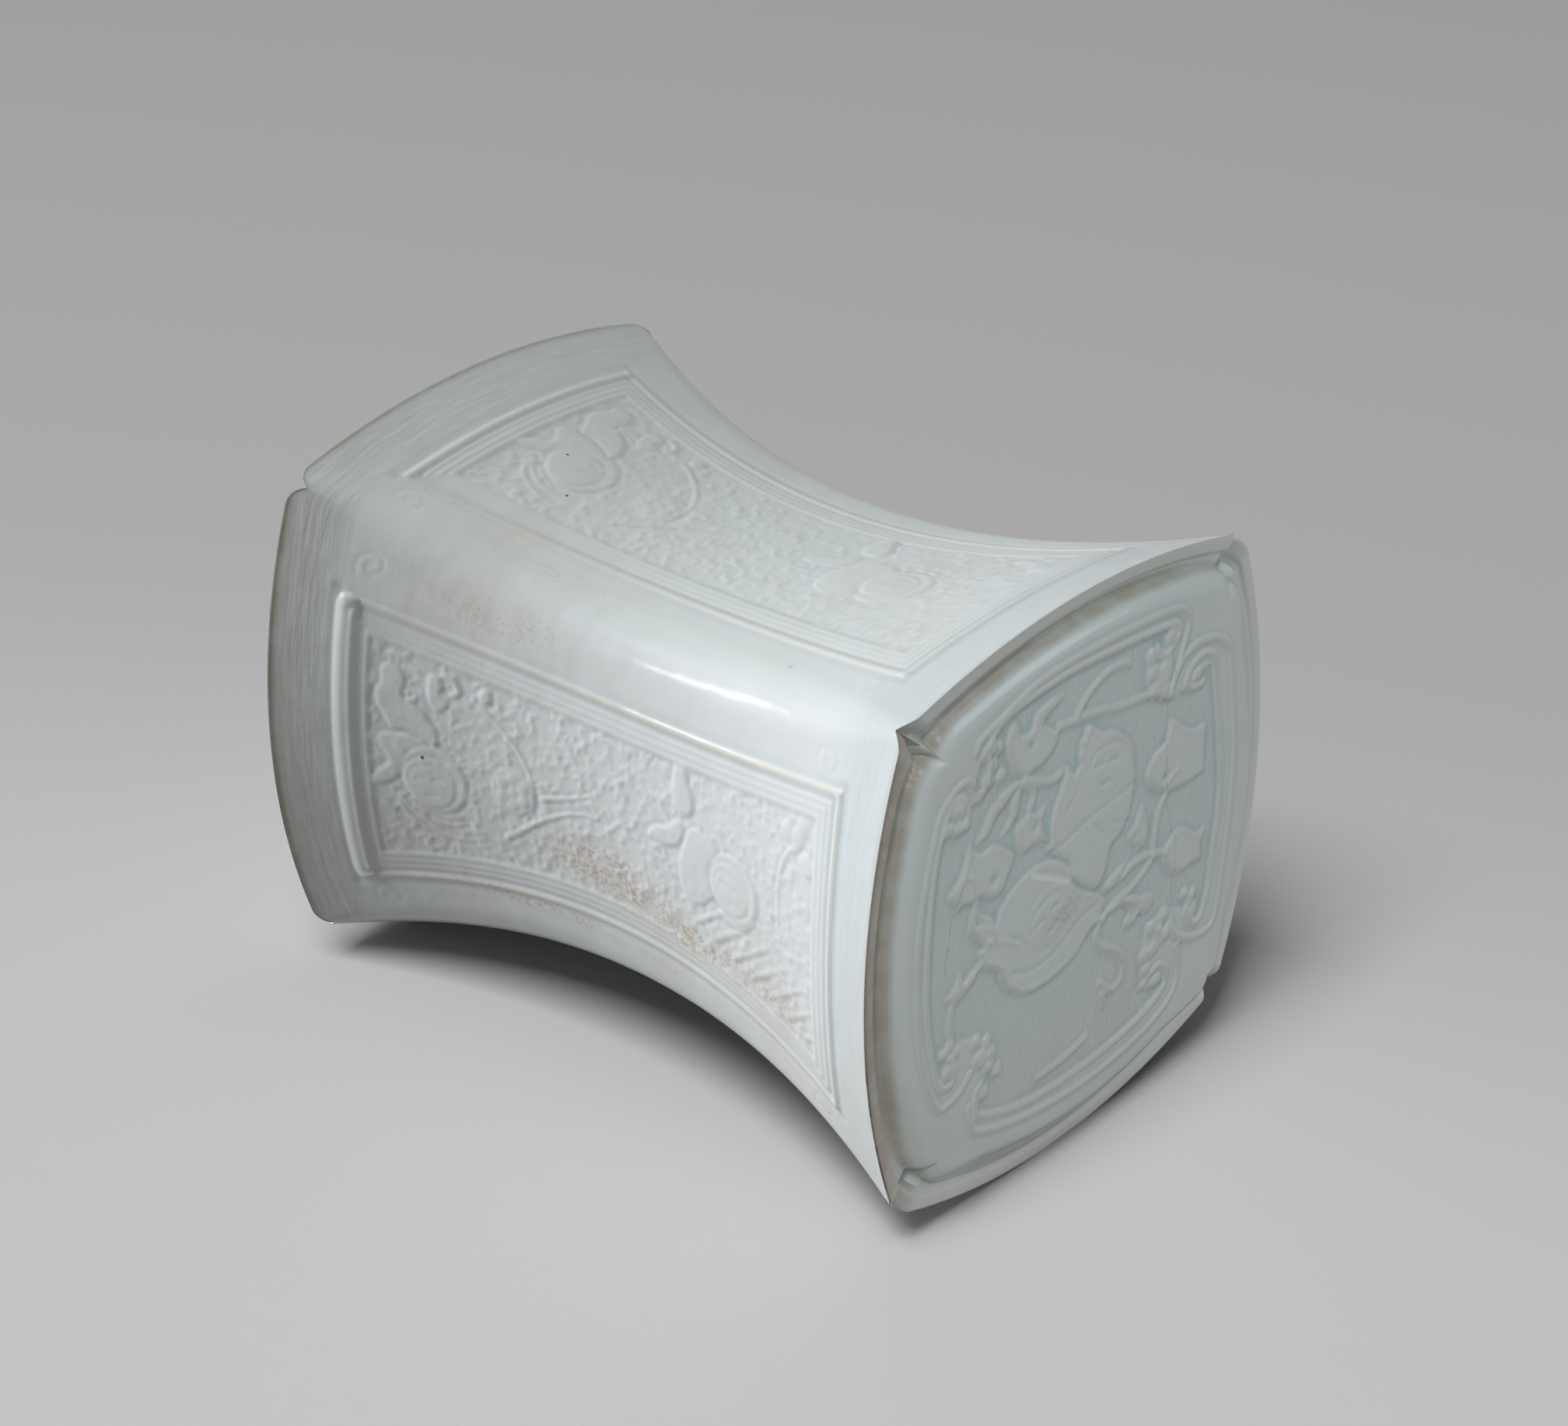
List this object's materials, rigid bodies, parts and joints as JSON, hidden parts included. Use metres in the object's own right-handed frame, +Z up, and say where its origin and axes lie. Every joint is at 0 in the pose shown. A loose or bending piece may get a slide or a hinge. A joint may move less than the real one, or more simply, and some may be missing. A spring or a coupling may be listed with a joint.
{
  "type": "ceramic pillow",
  "caption": "Hollow waisted porcelain headrest with arched, softly bulging sides, rounded ridges, framed panels and cushion-shaped end plates set inside raised rims.",
  "frame": {"origin": "middle of the footprint, on the surface the pillow stands on", "axes": "+X along the pillow's length towards the end plate without the vent, +Y towards the back, +Z up"},
  "size_m": [0.186, 0.139, 0.1356],
  "materials": {
    "glazed_body": "gloss pale blue-white glaze, pooled in the hollows, with a thin iron-brown line on the rims",
    "glazed_end": "gloss pale blue-white glaze over fine relief",
    "raw_coil": "unglazed fired porcelain, matt"
  },
  "bodies": {
    "root": {"top_slab": "glazed_body", "bottom_slab": "glazed_body", "front_slab": "glazed_body", "back_slab": "glazed_body", "left_end_plate": "glazed_end", "right_end_plate": "glazed_end", "top_front_coil": "raw_coil", "top_back_coil": "raw_coil", "bottom_front_coil": "raw_coil", "bottom_back_coil": "raw_coil", "left_end_coil": "raw_coil"}
  },
  "joints": []
}
